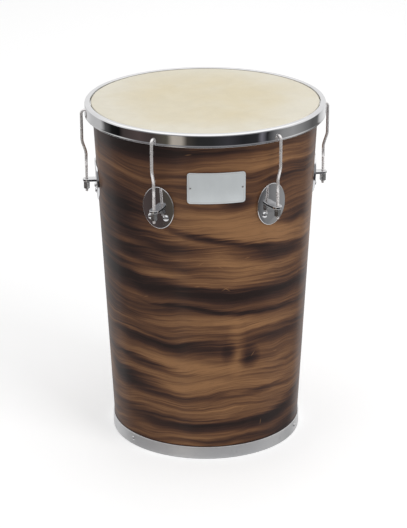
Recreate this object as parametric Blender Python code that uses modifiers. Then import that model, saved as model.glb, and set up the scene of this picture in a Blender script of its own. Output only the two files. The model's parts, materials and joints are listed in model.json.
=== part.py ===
"""A rebolo: a conical wooden hand drum with one skin, tuned by six hook rods.

Metres, +Z up. The origin is the centre of the base, and the badge faces -Y.
Bearings are counted from the badge, positive towards +X.
"""

import math

import bmesh
import bpy
from mathutils import Matrix, Vector

# Driving sizes of the whole drum
HEIGHT = 0.4654
SHELL_RADIUS_BASE = 0.12665
SHELL_RADIUS_TOP = 0.15028
SHELL_WALL = 0.0070
GAP = 0.0003
ROUND_STEPS = 60

# Head and hoops
HOOP_RADIUS = 0.1600
HOOP_DEPTH = 0.0176
HOOP_WALL = 0.0018
HOOP_BEAD = 0.0003
HOOP_FLANGE_RADIUS = 0.1526
HOOP_CORNER = 0.0028
SKIN_THICKNESS = 0.0008
SKIN_TOP = HEIGHT - 0.0006
SKIN_COLLAR_DEPTH = 0.0080
FLESH_HOOP_WIRE = 0.0048
HOOK_HOLE_HEIGHT = 0.4550

# Ring round the foot
RING_RADIUS = 0.1291
RING_HEIGHT = 0.0171
RING_WALL = 0.0012
RING_LIP_WIDTH = 0.0100
RING_LIP_THICKNESS = 0.0015
RING_SCREW_BEARINGS = {"right": 64.4, "back": 184.4, "left": 304.4}
RING_SCREW_HEIGHT = 0.0095

# Lugs, at even bearings either side of the badge
LUG_BEARINGS = {
    "front_right": 30.0,
    "right": 90.0,
    "back_right": 150.0,
    "back_left": 210.0,
    "left": 270.0,
    "front_left": 330.0,
}
LUG_HEIGHT = 0.3595
LUG_PLATE_WIDTH = 0.0440
LUG_PLATE_TALL = 0.0575
LUG_PLATE_THICKNESS = 0.0014
LUG_RIM_BEVEL = 0.0008
TONGUE_TOP = 0.3605
TONGUE_THICKNESS = 0.0035
TONGUE_WIDTH = 0.0130
TONGUE_TIP_RADIUS = 0.1645
LUG_SCREW_HEIGHT = 0.3470
LUG_SCREW_OFFSET = 0.0105

# Hook rods and their nuts
ROD_RADIUS = 0.0020
ROD_LOW_RADIUS = 0.1592
ROD_HIGH_RADIUS = 0.1643
ROD_BOTTOM = 0.3425
ROD_JOG_BOTTOM = 0.3940
ROD_JOG_TOP = 0.4160
ROD_BEND_RADIUS = 0.0042
ROD_TIP_RADIUS = 0.1552
NUT_ACROSS_FLATS = 0.0078
NUT_HEIGHT = 0.0100

# Screws that hold the lugs, and the nuts with washers on their inner ends
SCREW_RADIUS = 0.0020
SCREW_HEAD_RADIUS = 0.0042
SCREW_HEAD_HEIGHT = 0.0026
WASHER_RADIUS = 0.0048
WASHER_THICKNESS = 0.0008
WASHER_STAND_OFF = 0.0012
SCREW_END = 0.0015
INNER_NUT_ACROSS_FLATS = 0.0070
INNER_NUT_HEIGHT = 0.0040
BORE_CLEARANCE = 0.0004

# Screws of the ring, and pins of the badge
RING_SCREW_RADIUS = 0.0013
RING_SCREW_HEAD_RADIUS = 0.0027
RING_SCREW_HEAD_HEIGHT = 0.0012
RING_SCREW_LENGTH = 0.0070
PIN_RADIUS = 0.0007
PIN_HEAD_RADIUS = 0.0014
PIN_HEAD_HEIGHT = 0.0007
PIN_LENGTH = 0.0050
PIN_OFFSET = 0.0340

# Badge
BADGE_WIDTH = 0.0750
BADGE_TALL = 0.0420
BADGE_HEIGHT = 0.3900
BADGE_THICKNESS = 0.0008
BADGE_CORNER = 0.0040

CONE_SLOPE = (SHELL_RADIUS_TOP - SHELL_RADIUS_BASE) / HEIGHT
CONE_ANGLE = math.atan(CONE_SLOPE)


def shell_radius(height):
    """Outer radius of the wooden shell at a height."""
    return SHELL_RADIUS_BASE + CONE_SLOPE * height


def bearing_matrix(bearing):
    """Turn a piece that was modelled at +X to its bearing from the badge."""
    return Matrix.Rotation(math.radians(bearing - 90.0), 4, "Z")


def clear_scene():
    for obj in list(bpy.data.objects):
        bpy.data.objects.remove(obj, do_unlink=True)


def collection(name):
    made = bpy.data.collections.new(name)
    bpy.context.scene.collection.children.link(made)
    return made


def material(name, colour, roughness, metallic=0.0):
    made = bpy.data.materials.new(name)
    made.use_nodes = True
    shader = made.node_tree.nodes["Principled BSDF"]
    shader.inputs["Base Color"].default_value = (*colour, 1.0)
    shader.inputs["Roughness"].default_value = roughness
    shader.inputs["Metallic"].default_value = metallic
    return made


def add_part(name, mesh, look):
    """Link a mesh into the drum's collection as a finished part."""
    mesh.materials.clear()
    mesh.materials.append(look)
    mesh.shade_smooth()
    mesh.set_sharp_from_angle(angle=math.radians(30.0))
    obj = bpy.data.objects.new(name, mesh)
    parts.objects.link(obj)
    return obj


def add_cutter(name, mesh):
    """Link a mesh into the cutters' collection."""
    obj = bpy.data.objects.new(name, mesh)
    cutters.objects.link(obj)
    obj.hide_render = True
    obj.display_type = "WIRE"
    return obj


def evaluated_mesh(obj, name):
    """The object's mesh with its modifiers worked out; the object itself goes."""
    bpy.context.view_layer.update()
    graph = bpy.context.evaluated_depsgraph_get()
    mesh = bpy.data.meshes.new_from_object(obj.evaluated_get(graph))
    mesh.transform(obj.matrix_world)
    mesh.name = name
    bpy.data.objects.remove(obj, do_unlink=True)
    return mesh


def turned_mesh(name, profile, steps=ROUND_STEPS, closed=True):
    """Turn a profile of (radius, height) points about Z.

    The profile runs down the outer side from top to bottom.
    """
    outline = bpy.data.meshes.new(name)
    points = [(radius, 0.0, height) for radius, height in profile]
    edges = [(i, i + 1) for i in range(len(points) - 1)]
    if closed:
        edges.append((len(points) - 1, 0))
    outline.from_pydata(points, edges, [])
    obj = bpy.data.objects.new(name, outline)
    parts.objects.link(obj)
    turn = obj.modifiers.new("Turn", "SCREW")
    turn.steps = steps
    turn.render_steps = steps
    turn.use_merge_vertices = True
    turn.merge_threshold = 0.00001
    return evaluated_mesh(obj, name)


def cylinder_mesh(name, rods, sides):
    """One mesh of separate cylinders, each a (radius, length, matrix)."""
    mesh = bpy.data.meshes.new(name)
    shape = bmesh.new()
    for radius, length, matrix in rods:
        bmesh.ops.create_cone(
            shape, cap_ends=True, segments=sides, radius1=radius, radius2=radius, depth=length, matrix=matrix
        )
    shape.to_mesh(mesh)
    shape.free()
    return mesh


def slab_mesh(name, outline, thickness, matrix):
    """Extrude a closed flat outline of (x, y) points to a thickness, centred on its plane."""
    curve = bpy.data.curves.new(name, "CURVE")
    curve.dimensions = "2D"
    curve.fill_mode = "BOTH"
    curve.extrude = thickness / 2
    spline = curve.splines.new("POLY")
    spline.points.add(len(outline) - 1)
    for point, (x, y) in zip(spline.points, outline):
        point.co = (x, y, 0.0, 1.0)
    spline.use_cyclic_u = True
    obj = bpy.data.objects.new(name, curve)
    obj.matrix_world = matrix
    parts.objects.link(obj)
    return welded(evaluated_mesh(obj, name))


def welded(mesh):
    shape = bmesh.new()
    shape.from_mesh(mesh)
    bmesh.ops.remove_doubles(shape, verts=shape.verts, dist=0.00001)
    shape.to_mesh(mesh)
    shape.free()
    return mesh


def place_copies(mesh, look, places):
    """One part at each named matrix, all of them sharing the mesh."""
    for name, matrix in places.items():
        add_part(name, mesh, look).matrix_world = matrix


def cut(obj, name, mesh, operation="DIFFERENCE"):
    """Add a Boolean whose operand is a new cutter made of a mesh."""
    boolean = obj.modifiers.new(name, "BOOLEAN")
    boolean.operation = operation
    boolean.solver = "EXACT"
    boolean.object = add_cutter(name, mesh)


def arc(centre_x, centre_y, radius, start, end, steps):
    """Points on an arc, in degrees, both ends included."""
    points = []
    for i in range(steps + 1):
        angle = math.radians(start + (end - start) * i / steps)
        points.append((centre_x + radius * math.cos(angle), centre_y + radius * math.sin(angle)))
    return points


def lug_plate_matrix(tangential, height):
    """Place +Z along the outward normal of a lug plate's flat front, at a point of that front."""
    centre = Vector((shell_radius(height) + GAP + LUG_PLATE_THICKNESS, tangential, height))
    return Matrix.Translation(centre) @ Matrix.Rotation(math.radians(90.0) + CONE_ANGLE, 4, "Y")


def lug_screw_places(depth=0.0):
    """Both screws of every lug, with +Z out of the plate and the origin this deep behind its front."""
    places = {}
    for name, bearing in LUG_BEARINGS.items():
        for side, hand in ((-1, "a"), (1, "b")):
            seat = lug_plate_matrix(side * LUG_SCREW_OFFSET, LUG_SCREW_HEIGHT)
            drop = Matrix.Translation((0.0, 0.0, -depth))
            places[name + "_" + hand] = bearing_matrix(bearing) @ seat @ drop
    return places


def ring_screw_places(lift=0.0):
    """The ring's screws, with +Z outwards and the origin this far off the ring's outside."""
    seat = Matrix.Translation((RING_RADIUS + lift, 0.0, RING_SCREW_HEIGHT))
    seat = seat @ Matrix.Rotation(math.radians(90.0), 4, "Y")
    return {name: bearing_matrix(bearing) @ seat for name, bearing in RING_SCREW_BEARINGS.items()}


def pin_places(lift=0.0):
    """The badge's two pins, with +Z outwards and the origin this far off the badge's front."""
    radius = shell_radius(BADGE_HEIGHT) + GAP + BADGE_THICKNESS + lift
    seat = Matrix.Translation((radius, 0.0, BADGE_HEIGHT))
    seat = seat @ Matrix.Rotation(math.radians(90.0) + CONE_ANGLE, 4, "Y")
    bearing = math.degrees(PIN_OFFSET / radius)
    return {"left": bearing_matrix(-bearing) @ seat, "right": bearing_matrix(bearing) @ seat}


def drilled(matrices, radius, above, below):
    """Cylinders for holes along each matrix's Z, from above its origin to below it."""
    middle = Matrix.Translation((0.0, 0.0, (above - below) / 2))
    return [(radius, above + below, matrix @ middle) for matrix in matrices]


def renamed(prefix, places):
    return {prefix + name: matrix for name, matrix in places.items()}


def domed_screw_mesh(name, head_radius, head_height, shank_radius, length, sides):
    """A round-headed screw with +Z out of its head and the origin under the head."""
    profile = [(0.0, head_height)]
    for angle in (60.0, 30.0, 0.0):
        turn = math.radians(angle)
        profile.append((head_radius * math.cos(turn), head_height * math.sin(turn)))
    profile += [(shank_radius, 0.0), (shank_radius, -length), (0.0, -length)]
    return turned_mesh(name, profile, steps=sides, closed=False)


def make_shell():
    """Veneered wooden cone, open at both ends, with a bearing edge at the top."""
    bottom = RING_LIP_THICKNESS + GAP
    top = SKIN_TOP - SKIN_THICKNESS - GAP
    edge_width = 0.0022
    edge_round = 0.0010
    inner_chamfer = 0.0040
    profile = [
        (shell_radius(top) - edge_round - edge_width, top),
        (shell_radius(top) - edge_round, top),
        (shell_radius(top - edge_round), top - edge_round),
        (shell_radius(bottom), bottom),
        (shell_radius(bottom) - SHELL_WALL, bottom),
        (shell_radius(top - inner_chamfer) - SHELL_WALL, top - inner_chamfer),
    ]
    shell = add_part("shell", turned_mesh("shell", profile), wood)
    clear = SCREW_HEAD_RADIUS
    holes = drilled(lug_screw_places().values(), SCREW_RADIUS + BORE_CLEARANCE, clear, SHELL_WALL + clear)
    ring_hole = RING_SCREW_LENGTH + GAP
    holes += drilled(ring_screw_places().values(), RING_SCREW_RADIUS + BORE_CLEARANCE, GAP, ring_hole)
    holes += drilled(pin_places().values(), PIN_RADIUS + BORE_CLEARANCE, GAP, PIN_LENGTH + GAP)
    cut(shell, "shell_holes", cylinder_mesh("shell_holes", holes, 10))


def make_bottom_ring():
    """Aluminium ring round the foot, with a lip under the shell's end."""
    inner = RING_RADIUS - RING_WALL
    edge = 0.0006
    profile = [
        (inner, RING_HEIGHT),
        (RING_RADIUS - edge, RING_HEIGHT),
        (RING_RADIUS, RING_HEIGHT - edge),
        (RING_RADIUS, edge),
        (RING_RADIUS - edge, 0.0),
        (RING_RADIUS - RING_LIP_WIDTH, 0.0),
        (RING_RADIUS - RING_LIP_WIDTH, RING_LIP_THICKNESS),
        (inner, RING_LIP_THICKNESS),
    ]
    ring = add_part("bottom_ring", turned_mesh("bottom_ring", profile), satin_aluminium)
    reach = RING_WALL * 2
    holes = drilled(ring_screw_places().values(), RING_SCREW_RADIUS + BORE_CLEARANCE, reach, reach)
    cut(ring, "ring_holes", cylinder_mesh("ring_holes", holes, 10))


def make_ring_screws():
    length = RING_SCREW_LENGTH - GAP
    screw = domed_screw_mesh(
        "ring_screw", RING_SCREW_HEAD_RADIUS, RING_SCREW_HEAD_HEIGHT, RING_SCREW_RADIUS, length, 10
    )
    place_copies(screw, chrome, renamed("bottom_ring_screw_", ring_screw_places(GAP)))


def make_drum_head():
    """Skin across the bearing edge, with a short collar down the outside of the shell."""
    inner = shell_radius(SKIN_TOP) + GAP
    outer = inner + SKIN_THICKNESS
    fold = 0.0008
    bottom = SKIN_TOP - SKIN_COLLAR_DEPTH
    profile = [
        (0.0, SKIN_TOP),
        (outer - fold, SKIN_TOP),
        (outer, SKIN_TOP - fold),
        (outer, bottom),
        (inner, bottom),
        (inner, SKIN_TOP - SKIN_THICKNESS),
        (0.0, SKIN_TOP - SKIN_THICKNESS),
    ]
    add_part("drum_head", turned_mesh("drum_head", profile, closed=False), skin)


def make_counter_hoop():
    """Chromed steel hoop: a deep band with a flange turned in over the flesh hoop."""
    outer = HOOP_RADIUS - HOOP_BEAD
    bottom = HEIGHT - HOOP_DEPTH
    bead = 0.0012
    corner = arc(outer - HOOP_CORNER, HEIGHT - HOOP_CORNER, HOOP_CORNER, 90.0, 0.0, 3)
    profile = [(HOOP_FLANGE_RADIUS, HEIGHT)]
    profile += corner
    profile += [
        (outer, bottom + bead * 2),
        (HOOP_RADIUS, bottom + bead),
        (HOOP_RADIUS, bottom),
        (outer - HOOP_WALL, bottom),
        (outer - HOOP_WALL, HEIGHT - HOOP_WALL),
        (HOOP_FLANGE_RADIUS, HEIGHT - HOOP_WALL),
    ]
    hoop = add_part("counter_hoop", turned_mesh("counter_hoop", profile), chrome)
    seat = Matrix.Translation((outer, 0.0, HOOK_HOLE_HEIGHT)) @ Matrix.Rotation(math.radians(90.0), 4, "Y")
    matrices = [bearing_matrix(bearing) @ seat for bearing in LUG_BEARINGS.values()]
    reach = HOOP_WALL * 2
    holes = drilled(matrices, ROD_RADIUS + BORE_CLEARANCE, reach, reach)
    cut(hoop, "hoop_holes", cylinder_mesh("hoop_holes", holes, 10))


def make_flesh_hoop():
    """Round steel wire that the skin's edge is wrapped on, under the hoop's flange."""
    wire = FLESH_HOOP_WIRE / 2
    inside = HOOP_RADIUS - HOOP_BEAD - HOOP_WALL - GAP
    bpy.ops.mesh.primitive_torus_add(
        major_segments=ROUND_STEPS,
        minor_segments=6,
        major_radius=inside - wire,
        minor_radius=wire,
        location=(0.0, 0.0, HEIGHT - HOOP_WALL - GAP - wire),
    )
    obj = bpy.context.object
    add_part("flesh_hoop", evaluated_mesh(obj, "flesh_hoop"), steel)


def make_lugs():
    """Chromed oval plate, flat in front and hollowed to the shell behind, with a level tongue."""
    depth = 0.0060
    mesh = bpy.data.meshes.new("lug_plate")
    shape = bmesh.new()
    bmesh.ops.create_cone(shape, cap_ends=True, segments=28, radius1=1.0, radius2=1.0, depth=1.0)
    bmesh.ops.scale(shape, vec=(LUG_PLATE_TALL / 2, LUG_PLATE_WIDTH / 2, depth), verts=shape.verts)
    bmesh.ops.translate(shape, vec=(0.0, 0.0, -depth / 2), verts=shape.verts)
    front_rim = [edge for edge in shape.edges if all(vert.co.z > -GAP for vert in edge.verts)]
    bmesh.ops.bevel(shape, geom=front_rim, offset=LUG_RIM_BEVEL, segments=2, profile=0.5, affect="EDGES")
    shape.to_mesh(mesh)
    shape.free()
    mesh.transform(lug_plate_matrix(0.0, LUG_HEIGHT))
    plate = add_part("lug_plate", mesh, chrome)

    half = TONGUE_WIDTH / 2
    root = shell_radius(TONGUE_TOP) + GAP * 2
    outline = [(root, -half)]
    outline += arc(TONGUE_TIP_RADIUS - half, 0.0, half, -90.0, 90.0, 8)
    outline += [(root, half)]
    level = Matrix.Translation((0.0, 0.0, TONGUE_TOP - TONGUE_THICKNESS / 2))
    cut(plate, "lug_tongue", slab_mesh("lug_tongue", outline, TONGUE_THICKNESS, level), "UNION")

    clear = LUG_PLATE_THICKNESS * 4
    seats = [lug_plate_matrix(side * LUG_SCREW_OFFSET, LUG_SCREW_HEIGHT) for side in (-1, 1)]
    holes = drilled(seats, SCREW_RADIUS + BORE_CLEARANCE, GAP, clear)
    rod_seat = Matrix.Translation((ROD_LOW_RADIUS, 0.0, TONGUE_TOP))
    holes += drilled([rod_seat], ROD_RADIUS + BORE_CLEARANCE, TONGUE_THICKNESS, TONGUE_THICKNESS * 2)
    cut(plate, "lug_holes", cylinder_mesh("lug_holes", holes, 10))

    low = LUG_HEIGHT - LUG_PLATE_TALL
    high = LUG_HEIGHT + LUG_PLATE_TALL
    cone = [
        (0.0, high),
        (shell_radius(high) + GAP, high),
        (shell_radius(low) + GAP, low),
        (0.0, low),
    ]
    cut(plate, "lug_seat", turned_mesh("lug_seat", cone, closed=False))
    lug = evaluated_mesh(plate, "lug")
    for name, bearing in LUG_BEARINGS.items():
        obj = add_part("lug_" + name, lug, chrome)
        obj.matrix_world = bearing_matrix(bearing)


def rod_centre_line():
    """Centre line of a hook rod in its own upright plane, as (radius, height) points."""
    line = [(ROD_LOW_RADIUS, ROD_BOTTOM), (ROD_LOW_RADIUS, ROD_JOG_BOTTOM)]
    steps = 5
    for i in range(1, steps + 1):
        share = i / steps
        ease = share * share * (3.0 - 2.0 * share)
        radius = ROD_LOW_RADIUS + (ROD_HIGH_RADIUS - ROD_LOW_RADIUS) * ease
        line.append((radius, ROD_JOG_BOTTOM + (ROD_JOG_TOP - ROD_JOG_BOTTOM) * share))
    bend_x = ROD_HIGH_RADIUS - ROD_BEND_RADIUS
    bend_z = HOOK_HOLE_HEIGHT - ROD_BEND_RADIUS
    line += arc(bend_x, bend_z, ROD_BEND_RADIUS, 0.0, 90.0, 4)
    line.append((ROD_TIP_RADIUS, HOOK_HOLE_HEIGHT))
    return line


def make_hook_rods():
    """Bent steel rods that hook into the hoop and pass down through the lugs' tongues."""
    curve = bpy.data.curves.new("hook_rod", "CURVE")
    curve.dimensions = "3D"
    curve.bevel_depth = ROD_RADIUS
    curve.bevel_resolution = 2
    curve.use_fill_caps = True
    line = rod_centre_line()
    spline = curve.splines.new("POLY")
    spline.points.add(len(line) - 1)
    for point, (radius, height) in zip(spline.points, line):
        point.co = (radius, 0.0, height, 1.0)
    obj = bpy.data.objects.new("hook_rod", curve)
    parts.objects.link(obj)
    rod = welded(evaluated_mesh(obj, "hook_rod"))
    for name, bearing in LUG_BEARINGS.items():
        obj = add_part("hook_rod_" + name, rod, chrome)
        obj.matrix_world = bearing_matrix(bearing)


def hex_nut_mesh(name, across_flats, height, bore_radius, washer_radius=0.0):
    """A hexagon nut with +Z along its bore and the origin at its middle, with any washer at its top."""
    corner_radius = across_flats / math.sqrt(3.0)
    centre = Matrix.Identity(4)
    nut = bpy.data.objects.new(name, cylinder_mesh(name, [(corner_radius, height, centre)], 6))
    parts.objects.link(nut)
    if washer_radius:
        top = Matrix.Translation((0.0, 0.0, (height - WASHER_THICKNESS) / 2))
        washer = cylinder_mesh(name + "_washer", [(washer_radius, WASHER_THICKNESS, top)], 12)
        cut(nut, name + "_washer", washer, "UNION")
    cut(nut, name + "_bore", cylinder_mesh(name + "_bore", [(bore_radius, height * 2, centre)], 10))
    return evaluated_mesh(nut, name)


def make_tuning_nuts():
    """Long hexagon nuts under the tongues; each has its origin on its rod's axis."""
    nut = hex_nut_mesh("tuning_nut", NUT_ACROSS_FLATS, NUT_HEIGHT, ROD_RADIUS + BORE_CLEARANCE)
    height = TONGUE_TOP - TONGUE_THICKNESS - GAP - NUT_HEIGHT / 2
    for name, bearing in LUG_BEARINGS.items():
        obj = add_part("tuning_nut_" + name, nut, steel)
        obj.matrix_world = bearing_matrix(bearing) @ Matrix.Translation((ROD_LOW_RADIUS, 0.0, height))


def make_lug_fixings():
    """Screws, and nuts with their washers, that clamp the lugs through the shell's wall."""
    inside = LUG_PLATE_THICKNESS + GAP + SHELL_WALL + WASHER_STAND_OFF
    length = inside + INNER_NUT_HEIGHT + SCREW_END
    screw = domed_screw_mesh("lug_screw", SCREW_HEAD_RADIUS, SCREW_HEAD_HEIGHT, SCREW_RADIUS, length, 10)
    place_copies(screw, chrome, renamed("lug_screw_", lug_screw_places(-GAP)))

    nut = hex_nut_mesh("lug_nut", INNER_NUT_ACROSS_FLATS, INNER_NUT_HEIGHT, SCREW_RADIUS + BORE_CLEARANCE, WASHER_RADIUS)
    place_copies(nut, steel, renamed("lug_nut_", lug_screw_places(inside + INNER_NUT_HEIGHT / 2)))


def rounded_rectangle(width, tall, corner, steps):
    """Closed outline of (x, y) points, anticlockwise."""
    x = width / 2 - corner
    y = tall / 2 - corner
    outline = []
    for centre_x, centre_y, start in ((x, y, 0.0), (-x, y, 90.0), (-x, -y, 180.0), (x, -y, 270.0)):
        outline += arc(centre_x, centre_y, corner, start, start + 90.0, steps)
    return outline


def make_badge():
    """Blank metal plate with rounded corners, bent round the front of the shell."""
    low = BADGE_HEIGHT - BADGE_TALL
    high = BADGE_HEIGHT + BADGE_TALL
    profile = [
        (shell_radius(high) + GAP, high),
        (shell_radius(high) + GAP + BADGE_THICKNESS, high),
        (shell_radius(low) + GAP + BADGE_THICKNESS, low),
        (shell_radius(low) + GAP, low),
    ]
    badge = add_part("badge", turned_mesh("badge", profile), badge_metal)
    outline = rounded_rectangle(BADGE_WIDTH, BADGE_TALL, BADGE_CORNER, 3)
    upright = Matrix.Translation((0.0, -HOOP_RADIUS, BADGE_HEIGHT)) @ Matrix.Rotation(math.radians(90.0), 4, "X")
    cut(badge, "badge_outline", slab_mesh("badge_outline", outline, HOOP_RADIUS, upright), "INTERSECT")
    reach = BADGE_THICKNESS * 2
    holes = drilled(pin_places().values(), PIN_RADIUS + BORE_CLEARANCE, reach, reach)
    cut(badge, "badge_holes", cylinder_mesh("badge_holes", holes, 8))

    pin = domed_screw_mesh("badge_pin", PIN_HEAD_RADIUS, PIN_HEAD_HEIGHT, PIN_RADIUS, PIN_LENGTH, 8)
    place_copies(pin, steel, renamed("badge_pin_", pin_places(GAP)))


clear_scene()
parts = collection("rebolo_drum")
cutters = collection("cutters")

wood = material("wood_veneer", (0.105, 0.048, 0.024), 0.35)
chrome = material("chrome", (0.62, 0.62, 0.63), 0.08, 1.0)
steel = material("plated_steel", (0.50, 0.50, 0.50), 0.25, 1.0)
satin_aluminium = material("satin_aluminium", (0.55, 0.55, 0.55), 0.35, 1.0)
skin = material("drum_skin", (0.80, 0.68, 0.50), 0.55)
badge_metal = material("badge_metal", (0.75, 0.76, 0.77), 0.30, 0.6)

make_shell()
make_bottom_ring()
make_ring_screws()
make_drum_head()
make_counter_hoop()
make_flesh_hoop()
make_lugs()
make_hook_rods()
make_tuning_nuts()
make_lug_fixings()
make_badge()
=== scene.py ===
"""The looks of a rebolo drum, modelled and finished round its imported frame.

Metres, +Z up. The origin is the centre of the base, and the blank badge faces -Y.
Bearings are counted from the badge, positive towards +X.
"""

import json
import math

import bmesh
import bpy
from mathutils import Euler, Matrix, Vector


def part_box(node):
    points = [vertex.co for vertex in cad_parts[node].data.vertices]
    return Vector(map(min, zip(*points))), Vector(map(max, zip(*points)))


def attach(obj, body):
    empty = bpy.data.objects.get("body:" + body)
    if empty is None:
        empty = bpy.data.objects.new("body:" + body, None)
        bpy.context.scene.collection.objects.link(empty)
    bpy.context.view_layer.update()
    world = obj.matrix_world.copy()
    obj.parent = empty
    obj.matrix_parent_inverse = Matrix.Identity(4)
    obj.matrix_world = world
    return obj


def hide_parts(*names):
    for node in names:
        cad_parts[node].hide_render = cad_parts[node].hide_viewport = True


bl_info = {
    "name": "Rebolo drum",
    "version": (1, 0, 0),
    "blender": (4, 5, 0),
    "location": "3D View > Sidebar > Rebolo",
    "description": "Builds the pieces, finishes and stage of a rebolo drum round its frame",
    "category": "Add Mesh",
}

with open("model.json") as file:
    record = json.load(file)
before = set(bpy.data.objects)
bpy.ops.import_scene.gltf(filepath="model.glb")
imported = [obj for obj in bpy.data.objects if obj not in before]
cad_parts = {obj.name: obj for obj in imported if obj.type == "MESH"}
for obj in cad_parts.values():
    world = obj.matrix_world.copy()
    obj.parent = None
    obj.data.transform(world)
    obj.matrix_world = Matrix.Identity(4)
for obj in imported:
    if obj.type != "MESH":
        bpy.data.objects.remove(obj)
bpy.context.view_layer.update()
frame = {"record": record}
BODY_OF = {node: body for body, nodes in frame["record"]["behaviour"]["bodies"].items() for node in nodes}

# Sizes that the frame's boxes hold
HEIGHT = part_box("counter_hoop")[1].z
HOOP_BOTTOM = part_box("counter_hoop")[0].z
HOOP_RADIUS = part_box("counter_hoop")[1].x
SKIN_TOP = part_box("drum_head")[1].z
SKIN_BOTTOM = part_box("drum_head")[0].z
SKIN_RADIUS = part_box("drum_head")[1].x
SHELL_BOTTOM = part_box("shell")[0].z
SHELL_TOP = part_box("shell")[1].z
RING_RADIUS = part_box("bottom_ring")[1].x
RING_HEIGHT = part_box("bottom_ring")[1].z
ROD_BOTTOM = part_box("hook_rod_right")[0].z
TONGUE_TIP_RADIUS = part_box("lug_right")[1].x
NUT_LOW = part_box("tuning_nut_right")[0].z
NUT_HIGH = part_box("tuning_nut_right")[1].z

# Sizes of the wooden cone and of the pieces that lie on it
SHELL_RADIUS_BASE = 0.12665
SHELL_RADIUS_TOP = 0.15028
CONE_SLOPE = (SHELL_RADIUS_TOP - SHELL_RADIUS_BASE) / HEIGHT
CONE_ANGLE = math.atan(CONE_SLOPE)
SHELL_WALL = 0.0070
GAP = 0.0003
SKIN_THICKNESS = 0.0008
HOOP_WALL = 0.0018
HOOP_BEAD = 0.0003
HOOP_FLANGE_RADIUS = 0.1526
HOOK_HOLE_HEIGHT = 0.4550
FLESH_HOOP_WIRE = 0.0024
RING_WALL = 0.0012
RING_LIP_WIDTH = 0.0100
RING_LIP_THICKNESS = 0.0015
RING_SCREW_BEARINGS = {"right": 64.4, "back": 184.4, "left": 304.4}
RING_SCREW_HEIGHT = 0.0095
LUG_BEARINGS = {
    "front_right": 30.0,
    "right": 90.0,
    "back_right": 150.0,
    "back_left": 210.0,
    "left": 270.0,
    "front_left": 330.0,
}
LUG_HEIGHT = 0.3595
LUG_PLATE_WIDTH = 0.0440
LUG_PLATE_TALL = 0.0575
LUG_PLATE_THICKNESS = 0.0014
TONGUE_TOP = 0.3605
TONGUE_THICKNESS = 0.0035
TONGUE_WIDTH = 0.0130
LUG_SCREW_HEIGHT = 0.3470
LUG_SCREW_OFFSET = 0.0105
ROD_RADIUS = 0.0020
ROD_LOW_RADIUS = 0.1592
ROD_HIGH_RADIUS = 0.1643
ROD_JOG_BOTTOM = 0.3940
ROD_JOG_TOP = 0.4160
ROD_BEND_RADIUS = 0.0042
ROD_TIP_RADIUS = 0.1552
THREAD_TOP = 0.3800
NUT_ACROSS_FLATS = 0.0078
SCREW_RADIUS = 0.0020
SCREW_HEAD_RADIUS = 0.0042
SCREW_HEAD_HEIGHT = 0.0026
WASHER_RADIUS = 0.0048
WASHER_THICKNESS = 0.0008
WASHER_STAND_OFF = 0.0012
SCREW_END = 0.0015
INNER_NUT_ACROSS_FLATS = 0.0070
INNER_NUT_HEIGHT = 0.0040
RING_SCREW_RADIUS = 0.0013
RING_SCREW_HEAD_RADIUS = 0.0027
RING_SCREW_HEAD_HEIGHT = 0.0012
RING_SCREW_LENGTH = 0.0067
PIN_RADIUS = 0.0007
PIN_HEAD_RADIUS = 0.0014
PIN_HEAD_HEIGHT = 0.0007
PIN_LENGTH = 0.0050
PIN_OFFSET = 0.0340
BADGE_WIDTH = 0.0750
BADGE_TALL = 0.0420
BADGE_HEIGHT = 0.3900
BADGE_THICKNESS = 0.0008
BADGE_CORNER = 0.0040
BORE_EASE = 0.0001
ROD_HOLE_SIDES = 32
SCREW_HOLE_SIDES = 24
SMALL_HOLE_SIDES = 16
PIN_HOLE_SIDES = 12
TOUCHING = 0.000001


def length_property(name, description, default, low, high):
    return bpy.props.FloatProperty(
        name=name,
        description=description,
        default=default,
        min=low,
        max=high,
        precision=5,
        subtype="DISTANCE",
        unit="LENGTH",
    )


class ReboloSizes(bpy.types.PropertyGroup):
    """Sizes of the drum's fine shapes."""

    turning_steps: bpy.props.IntProperty(
        name="Turning steps",
        description="Sides of the shell, ring, skin and hoops",
        default=256,
        min=64,
        max=360,
        step=4,
    )
    edge_ease: length_property(
        "Edge ease", "Radius on the edges of the ring and the shell", 0.0006, 0.0001, 0.001
    )
    hoop_corner: length_property(
        "Hoop corner", "Outer radius of the bend between the hoop's flange and its band", 0.0028, 0.002, 0.004
    )
    plate_rim: length_property(
        "Lug plate rim", "Radius round the front edge of the lugs' oval plates", 0.0009, 0.0003, 0.0012
    )
    thread_pitch: length_property(
        "Thread pitch", "Rise of the hook rods' thread in one turn", 0.0007, 0.0005, 0.001
    )
    badge_border: length_property(
        "Badge border", "Distance from the badge's edge to its border line", 0.0019, 0.001, 0.006
    )


def colour_property(name, description, default):
    return bpy.props.FloatVectorProperty(
        name=name, description=description, default=default, size=3, min=0.0, max=1.0, subtype="COLOR"
    )


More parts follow.
